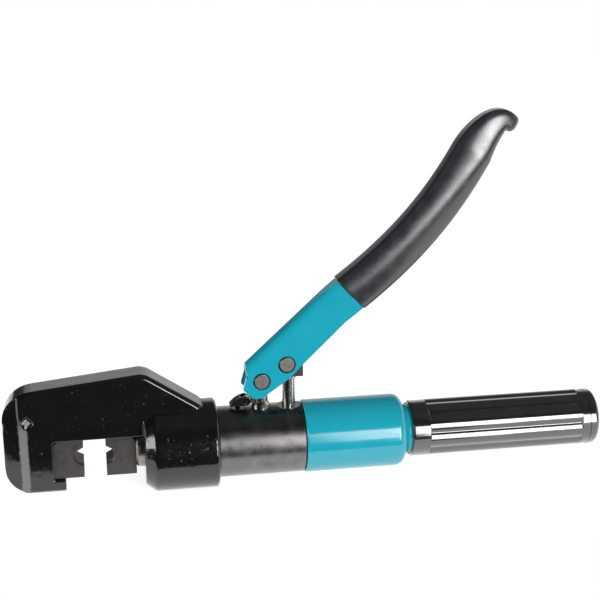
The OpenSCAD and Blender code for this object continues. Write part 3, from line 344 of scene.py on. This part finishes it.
# Stoved paint: satin black with fine 0.8 mm texture.
satin_black, tree, mm = start_finish("stoved_satin_paint")
grain = add(tree, "ShaderNodeTexNoise", {"Vector": mm, "Scale": 1 / 0.8, "Detail": 3}).outputs[0]
bumps = add(tree, "ShaderNodeBump", {"Height": grain, "Strength": 0.1, "Distance": 0.05 * MM})
look = shaded(tree, grain, "#070708", "#0E0E0F", 0.2, 0.3)
end_finish(tree, look | {"Normal": bumps.outputs[0]})
tab_edge = 0.2
fit("release_trigger_tab", eased("release_trigger", tab_edge), "trigger", "trigger_black",
    satin_black, "release_trigger")
dress(satin_black, "trigger_pin", "release_bush", "release_pin")


# Fulcrum post, pump plunger and its head block
# The post and the plunger are turned and ground bright. The dark head block on the plunger is
# milled steel, pinned to the lever, and the gland ring guides the plunger into the body.
post_edge, plunger_edge, block_edge = 0.35, 0.25, 0.4
fit("fulcrum_post_bright", eased("fulcrum_post", post_edge), "frame", "bright_steel",
    polished_steel, "fulcrum_post")
fit("pump_plunger_bright", eased("pump_plunger", plunger_edge), "plunger", "bright_steel",
    polished_steel, "pump_plunger")
fit("plunger_head_milled", eased("plunger_head", block_edge), "plunger", "die_steel", die_steel,
    "plunger_head")
dress(black_oxide, "plunger_gland")


# Lever channel
# A U channel pressed from 2 mm sheet, with a flat tang that carries the grip. It is sprayed and
# stoved teal, inside and out.
lever_at, lever_rise = Vector((-21.8, 0, 34.5)), math.radians(42.5)
plunger_pin_at = Vector((-8.5, 0, 43))

# Stoved teal paint: an even gloss colour with orange peel about 2 mm across and slight shading.
# A dark ring of painted shade lies round each lever pin, standing in for the shadowed gap beside
# it.
teal, tree, mm = start_finish("stoved_teal_paint")
peel = add(tree, "ShaderNodeTexNoise", {"Vector": mm, "Scale": 1 / 2, "Detail": 2}).outputs[0]
drift = add(tree, "ShaderNodeTexNoise", {"Vector": mm, "Scale": 1 / 18, "Detail": 2}).outputs[0]
skin = add(tree, "ShaderNodeBump", {"Height": peel, "Strength": 0.15, "Distance": 0.1 * MM})
look = shaded(tree, drift, "#179DB3", "#20A7BC", 0.09, 0.14)
shade_from, shade_to, shade_share = 4.3, 5.0, 0.9
flat_mm = add(tree, "ShaderNodeVectorMath", {0: mm, 1: (1, 0, 1)}, operation="MULTIPLY").outputs[0]
# Darker teal between these radii round each pin is painted shade.
for pin_at in (lever_at, plunger_pin_at):
    away = add(tree, "ShaderNodeVectorMath", {0: flat_mm, 1: pin_at}, operation="DISTANCE")
    pin_shade = add(tree, "ShaderNodeMapRange", {0: away.outputs["Value"], 1: shade_from, 2: shade_to,
                                            3: shade_share, 4: 0}).outputs[0]
    tone = add(tree, "ShaderNodeMix", {0: pin_shade, 6: look["Base Color"], 7: linear("#12262A")},
               data_type="RGBA")
    look["Base Color"] = tone.outputs[2]
end_finish(tree, look | {"Normal": skin.outputs[0], "IOR": 1.6})

spine_h, half_w, solid_bend, rolled_bend = 11.5, 6.5, 4.0, 5.2
corner_slack, bend_slack, channel_edge = 0.01, 0.03, 0.35


def on_lever(u, across, v):
    """A place in the lever's own frame, along, across and up in millimetres, in metres."""
    return Vector((lever_at.x + u * math.cos(lever_rise) - v * math.sin(lever_rise), across,
                   lever_at.z + u * math.sin(lever_rise) + v * math.cos(lever_rise))) * MM


def rolled(place):
    """A point of the channel with the bends beside its spine rolled to their full radius."""
    x, z = place.x / MM - lever_at.x, place.z / MM - lever_at.z
    u = x * math.cos(lever_rise) + z * math.sin(lever_rise)
    v = z * math.cos(lever_rise) - x * math.sin(lever_rise)
    across, up = abs(place.y / MM) - half_w + solid_bend, v - spine_h + solid_bend
    off_bend = abs(math.hypot(across, up) - solid_bend)
    if min(across, up) < -corner_slack or off_bend > bend_slack:
        return place
    turn = math.atan2(up, across)
    y = math.copysign(half_w + rolled_bend * (math.cos(turn) - 1), place.y)
    return on_lever(u, y, spine_h + rolled_bend * (math.sin(turn) - 1))


channel = eased("lever_channel", channel_edge, reshape=rolled)
fit("lever_channel_pressed", channel, "lever", "teal_paint", teal, "lever_channel")


# Lever pins
# Two plain steel pins through the channel, with a clip behind. Their ends are faced off on the
# lathe and a little dirty.

# Faced steel: warm grey metal with 1.5 mm smudges.
faced_steel, tree, mm = start_finish("faced_steel")
smudge = add(tree, "ShaderNodeTexNoise", {"Vector": mm, "Scale": 1 / 1.5, "Detail": 4}).outputs[0]
end_finish(tree, shaded(tree, smudge, "#66625F", "#8A8582", 0.4, 0.55) | {"Metallic": 0.8})
pin_edge, faced_cos = 0.7, 0.99
for pin in ("fulcrum_pin", "plunger_pin"):
    piece = fit(pin + "_faced", eased(pin, pin_edge), "lever", "pin_steel", faced_steel, pin)
    # Only the faced end is bright; shank and chamfer are black, the chamfer a ring of painted
    # shade.
    piece.data.materials.append(black_oxide)
    for face in piece.data.polygons:
        face.material_index = 0 if abs(face.normal.y) > faced_cos else 1
dress(black_oxide, "pin_clips")


# Lever grip
# The lever's tang is dipped in black vinyl, which leaves a smooth oval grip with a hooked end
# and a thin rolled lip where the dip stops.
grip_line = [(64.5, 0.4), (99.071, -2.731), (127.339, -0.426), (160, 10.6)]
hook_line = [(160, 10.6), (170.08, 13.72), (182.08, 15.88), (184, 7.96)]
grip_half, tip_half, grip_narrow = (11.1, 7.7), (4.6, 5.0), 0.93
ridge_from, ridge_to, ridge_x, ridge_run = 2.2, -6.0, 105, 60
tip_long, tip_turn, lip = 3.86, 86, 0.5
grip_steps, square_steps, hook_steps, tip_steps = 40, 4, 24, 10


def along(line, t):
    """The point and the direction on a four-point curve."""
    a, b, c, d = (Vector(p) for p in line)
    s = 1 - t
    point = s ** 3 * a + 3 * t * s * s * b + 3 * t * t * s * c + t ** 3 * d
    return point, (s * s * (b - a) + 2 * s * t * (c - b) + t * t * (d - c)).normalized()


# Each station has its middle, its direction and half its depth and width. The first few stand
# square to the tang.
stations = []
for k in range(grip_steps + 1):
    point, way = along(grip_line, k / grip_steps)
    way = Vector((1, 0)).lerp(way, min(1, k / square_steps)).normalized()
    deep = grip_half[0] * (1 - (1 - grip_narrow) * k / grip_steps)
    stations.append((point, way, deep, grip_half[1]))
for k in range(1, hook_steps + 1):
    share = k / hook_steps
    point, way = along(hook_line, share)
    # The back of the hook thins later than its inner side.
    over, under = (grip_half[0] * grip_narrow * (1 - s) + tip_half[0] * s
                   for s in (share ** 1.5, share))
    stations.append((point + Vector((-way.y, way.x)) * (over - under) / 2, way,
                     (over + under) / 2, grip_half[1] + (tip_half[1] - grip_half[1]) * share))
end, way = along(hook_line, 1)
for k in range(1, tip_steps + 1):
    turn = math.radians(tip_turn * k / tip_steps)
    stations.append((end + way * (tip_long * math.sin(turn)), way, tip_half[0] * math.cos(turn),
                     tip_half[1] * math.cos(turn)))
# The lip rolls in over its first half millimetre.
point, way, deep, wide = stations[0]
lips = [(point + way * (lip * (1 - math.cos(a))), way, deep - lip * (1 - math.sin(a)),
         wide - lip * (1 - math.sin(a))) for a in (0, math.pi / 6, math.pi / 3)]
stations[:1] = lips + [(point + way * lip, way, deep, wide)]


def grip_section(ridge, wide, deep):
    """The section's outline: a soft ridge at a height, with flatter sides over and under it."""
    half = [(0, 11.2), (6.2, 11.0), (8.2, ridge), (5.2, -11.0), (0, -11.2)]
    section = half + [(-x, y) for x, y in half[-2:0:-1]]
    # Each pass cuts every corner at a quarter of its sides.
    for k in range(4):
        sides = list(zip(section, section[1:] + section[:1]))
        section = [(a[0] * s + b[0] * (1 - s), a[1] * s + b[1] * (1 - s))
                   for a, b in sides for s in (0.75, 0.25)]
    widest = max(x for x, y in section)
    highest, lowest = max(y for x, y in section), min(y for x, y in section)
    return [(wide * x / widest, deep * (2 * (y - lowest) / (highest - lowest) - 1))
            for x, y in section]


def skinned(name, rings, looped):
    """A mesh over rings of points, which closes on itself or has a flat face at each end."""
    form = bmesh.new()
    rows = [[form.verts.new(point) for point in ring] for ring in rings]
    around = len(rows[0])
    for near, far in zip(rows, rows[1:] + (rows[:1] if looped else [])):
        for j in range(around):
            form.faces.new((near[j], near[(j + 1) % around], far[(j + 1) % around], far[j]))
    if not looped:
        form.faces.new(rows[0])
        form.faces.new(rows[-1])
    bmesh.ops.recalc_face_normals(form, faces=form.faces)
    return finished(name, form)


rings = []
for point, way, deep, wide in stations:
    late = min(1, max(0, (point.x - ridge_x) / ridge_run))
    section = grip_section(ridge_from + (ridge_to - ridge_from) * late * late, wide, deep)
    rings.append([on_lever(point.x - way.y * up, across, point.y + way.x * up)
                  for across, up in section])
dip = skinned("lever_grip_dip", rings, looped=False)

# Dipped vinyl: soft black with a low sheen and a 7 mm drift in gloss and in the dip's thickness.
vinyl, tree, mm = start_finish("dipped_vinyl")
drift = add(tree, "ShaderNodeTexNoise", {"Vector": mm, "Scale": 1 / 7, "Detail": 3}).outputs[0]
skin = add(tree, "ShaderNodeBump", {"Height": drift, "Strength": 0.15, "Distance": 0.2 * MM})
look = shaded(tree, drift, "#232427", "#303136", 0.21, 0.3)
end_finish(tree, look | {"Normal": skin.outputs[0], "IOR": 1.8})
fit("lever_grip_dip", dip, "lever", "grip_vinyl", vinyl, "lever_grip")


# Oil reservoir
# A spun steel barrel with a rounded shoulder and a narrower neck for the handle, pushed over the
# body's spigot. It has the lever's teal paint.
shell_r, shell_len, shoulder, neck_r, neck_end = 19.4, 54.3, 5.0, 13.7, 66.8
rim_x, rim, waist_x, waist_up, waist, neck_from = 1.2, 1.0, 3.0, 2.2, 2.9, 3.9
shell_inside = [(neck_end, 10.43), (50.4, 10.43), (50.3, 14.6), (47.8, 17.03), (0.2, 17.03)]
shell_sides = 180


def bend(x, r, radius, start, stop, steps):
    """Points of an arc round (x, r), between two angles in degrees from the X axis."""
    angles = [math.radians(start + (stop - start) * k / steps) for k in range(steps + 1)]
    return [(x + radius * math.cos(a), r + radius * math.sin(a)) for a in angles]


outline = bend(rim_x, shell_r - rim, rim, 180, 90, 6)
outline += bend(shell_len - shoulder, shell_r - shoulder, shoulder, 90, 12, 12)
outline += bend(shell_len + waist_x, neck_r + waist_up, waist, 205, 270, 8)
outline += [(shell_len + neck_from, neck_r), (neck_end, neck_r)] + shell_inside
turns = [2 * math.pi * j / shell_sides for j in range(shell_sides)]
rings = [[Vector((x, -r * math.sin(a), r * math.cos(a))) * MM for a in turns] for x, r in outline]
shell = skinned("turned", rings, looped=True)
fit("reservoir_shell_spun", shell, "frame", "teal_paint", teal, "reservoir_shell")


# Handle sleeve
# A black plastic tube moulded with nine rounded ribs and a plain band at each end. It is pushed
# over the neck and the steel tube and polished to a high gloss.
sleeve_r, sleeve_from, sleeve_to, band = 15.2, 57.8, 162.0, 9.5
ribs, rib_r, rib_turn, groove_ease = 9, 6.2, math.radians(21), math.radians(1.0)
rib_end, rib_gap, front_round, end_round = 0.9, 0.3, 1.3, 2.4
ring_groove = [(3.4, 0), (3.6, 0.35), (4.4, 0.35), (4.6, 0)]
sleeve_inside = [(sleeve_to, 12.03), (159.5, 12.03), (159.5, 10.43), (67.1, 10.43),
                 (67.1, 13.73), (sleeve_from, 13.73)]
rib_orbit = sleeve_r - rib_r
sleeve_sides = ribs * 60


def sleeve_ring(x, radius, cut):
    """One ring of the sleeve, its grooves sunk by a share of their depth."""
    pitch = 2 * math.pi / ribs
    ring = []
    for j in range(sleeve_sides):
        turn = 2 * math.pi * j / sleeve_sides
        part = abs((turn - rib_turn + pitch / 2) % pitch - pitch / 2)
        part = pitch / 2 - math.hypot(pitch / 2 - part, groove_ease)
        side = rib_orbit * math.sin(part)
        back = rib_orbit * math.cos(part) + math.sqrt(rib_r ** 2 - side ** 2)
        r = radius - cut * (sleeve_r - back)
        ring.append(Vector((x, -r * math.sin(turn), r * math.cos(turn))) * MM)
    return ring


# Each ring has its place, its radius and the share of the groove's depth.
ribs_from, ribs_to = sleeve_from + band, sleeve_to - band
rib_turns = [k / 6 * math.pi / 2 for k in range(7)]
rib_ends = [(rib_end * (1 - math.cos(a)), math.sin(a)) for a in rib_turns]
front = bend(sleeve_from + front_round, sleeve_r - front_round, front_round, 180, 90, 6)
rear = bend(sleeve_to - end_round, sleeve_r - end_round, end_round, 90, 0, 8)
profile = [(x, r, 0) for x, r in front] + [(ribs_from - rib_gap, sleeve_r, 0)]
profile += [(ribs_from + x, sleeve_r, cut) for x, cut in rib_ends]
profile += [(ribs_to - x, sleeve_r, cut) for x, cut in reversed(rib_ends)]
profile += [(ribs_to + rib_gap, sleeve_r, 0)]
profile += [(ribs_to + x, sleeve_r - sunk, 0) for x, sunk in ring_groove]
profile += [(x, r, 0) for x, r in rear + sleeve_inside]
sleeve = skinned("handle_grip_moulded", [sleeve_ring(*ring) for ring in profile], looped=True)

# Polished ABS under a clear lacquer: deep black gloss with scuffs in 12 mm patches and a very
# slight moulded ripple of 4 mm.
abs_black, tree, mm = start_finish("polished_black_abs")
scuff = add(tree, "ShaderNodeTexNoise", {"Vector": mm, "Scale": 1 / 12, "Detail": 4}).outputs[0]
ripple = add(tree, "ShaderNodeTexNoise", {"Vector": mm, "Scale": 1 / 4, "Detail": 2}).outputs[0]
skin = add(tree, "ShaderNodeBump", {"Height": ripple, "Strength": 0.06, "Distance": 0.2 * MM})
look = shaded(tree, scuff, "#1B1B1D", "#262628", 0.08, 0.17)
end_finish(tree, look | {"Normal": skin.outputs[0], "IOR": 1.7, "Coat Weight": 1,
                         "Coat IOR": 1.6, "Coat Roughness": 0.06})
fit("handle_grip_moulded", sleeve, "frame", "handle_plastic", abs_black, "handle_grip")
dress(abs_black, "end_cap")
dress(ground_steel, "handle_tube")


# Studio
# A white table that stops just in front of the tool, white behind and beside it, and a dark room
# in front, with a tall softbox and its bright core to the right and a small lit wall to the left.
table_z = -23.7 * MM
table_edge = [(-4, -0.046), (-0.125, -0.046), (-0.112, -0.047), (0.1, -0.06), (0.14, -0.11),
              (0.21, -0.25), (4, -0.4), (4, 6), (-4, 6)]
camera_glow, fill = 0.75, 0.27


def rays(tree):
    """Whether a ray comes from the camera, and whether from a reflection or a clear piece."""
    seen = add(tree, "ShaderNodeLightPath").outputs
    glossy, clear = seen["Is Glossy Ray"], seen["Is Transmission Ray"]
    mirrored = add(tree, "ShaderNodeMath", {0: glossy, 1: clear}, operation="MAXIMUM")
    return seen["Is Camera Ray"], mirrored.outputs[0]


# White card: matt, with a very slight 40 mm drift in tone. Only the camera and reflections see
# its glow.
white, tree, mm = start_finish("white_card")
direct, mirrored = rays(tree)
glow = add(tree, "ShaderNodeMath", {0: direct, 1: camera_glow, 2: mirrored},
           operation="MULTIPLY_ADD")
fibre = add(tree, "ShaderNodeTexNoise", {"Vector": mm, "Scale": 1 / 40, "Detail": 2}).outputs[0]
tone = add(tree, "ShaderNodeMix", {0: fibre, 6: linear("#F2F2F1"), 7: linear("#F6F6F6")},
           data_type="RGBA")
end_finish(tree, {"Base Color": tone.outputs[2], "Roughness": 0.9,
                  "Emission Color": (1, 1, 1, 1), "Emission Strength": glow.outputs[0]})
board = bpy.data.meshes.new("table")
board.from_pydata([(x, y, table_z) for x, y in table_edge], [], [tuple(range(len(table_edge)))])
board.materials.append(white)
table = bpy.data.objects.new("table", board)
scene.collection.objects.link(table)

# Reflections show a room that darkens to the front, upward and to the left. The camera sees white,
# and the pieces get an even fill.
world = bpy.data.worlds.new("studio")
scene.world = world
world.use_nodes = True
tree = world.node_tree
tree.nodes.clear()
direct, mirrored = rays(tree)
way = add(tree, "ShaderNodeTexCoord").outputs["Generated"]
split = add(tree, "ShaderNodeSeparateXYZ", {0: way}).outputs
room = 1
for axis, starts, stops, before, after in (("Y", -0.72, -0.3, 0.03, 1), ("Z", 0.3, 0.65, 1, 0.1),
                                           ("X", -0.32, -0.08, 0.06, 1)):
    shares = {0: split[axis], 1: starts, 2: stops, 3: before, 4: after}
    lit = add(tree, "ShaderNodeMapRange", shares, interpolation_type="SMOOTHSTEP").outputs[0]
    room = add(tree, "ShaderNodeMath", {0: room, 1: lit}, operation="MULTIPLY").outputs[0]
shown = add(tree, "ShaderNodeMix", {0: mirrored, 2: fill, 3: room}).outputs[0]
shown = add(tree, "ShaderNodeMix", {0: direct, 2: shown, 3: 1}).outputs[0]
back = add(tree, "ShaderNodeBackground", {"Color": (1, 1, 1, 1), "Strength": shown})
add(tree, "ShaderNodeOutputWorld", {"Surface": back.outputs[0]})


tool_middle = Vector((0, 0, 0.02))


def softbox(name, at, size, watts):
    """An area lamp in metres that points at the tool."""
    lamp = bpy.data.lights.new(name, "AREA")
    lamp.shape = "RECTANGLE"
    lamp.size, lamp.size_y = size
    lamp.energy = watts
    box = bpy.data.objects.new(name, lamp)
    box.location = at
    box.rotation_euler = (tool_middle - Vector(at)).to_track_quat("-Z", "Y").to_euler()
    box.visible_camera = False
    scene.collection.objects.link(box)


softbox("softbox_front_right", (0.745, -1.822, 0.36), (0.84, 1.06), 17.5)
softbox("softbox_core", (0.73, -1.827, 0.16), (0.43, 1.3), 15)
softbox("wall_left", (-0.9, -0.35, 0.2), (0.5, 0.35), 4)


# Camera
# A portrait lens a little above the tool, as far off as the picture's perspective asks. It looks
# a little to the right and down, and is rolled by a third of a degree.
camera_at = (-0.1037, -0.6346, 0.2748)
right, down, roll = math.radians(9.24), math.radians(17.19), math.radians(-0.345)
aim = Vector((math.sin(right) * math.cos(down), math.cos(right) * math.cos(down), -math.sin(down)))
eye = bpy.data.cameras.new("camera")
eye.lens = 78
eye.sensor_width = 36
camera = bpy.data.objects.new("camera", eye)
turn = aim.to_track_quat("-Z", "Y").to_matrix() @ Matrix.Rotation(roll, 3, "Z")
camera.matrix_world = Matrix.Translation(camera_at) @ turn.to_4x4()
scene.collection.objects.link(camera)
scene.camera = camera
scene.view_settings.view_transform = "Standard"
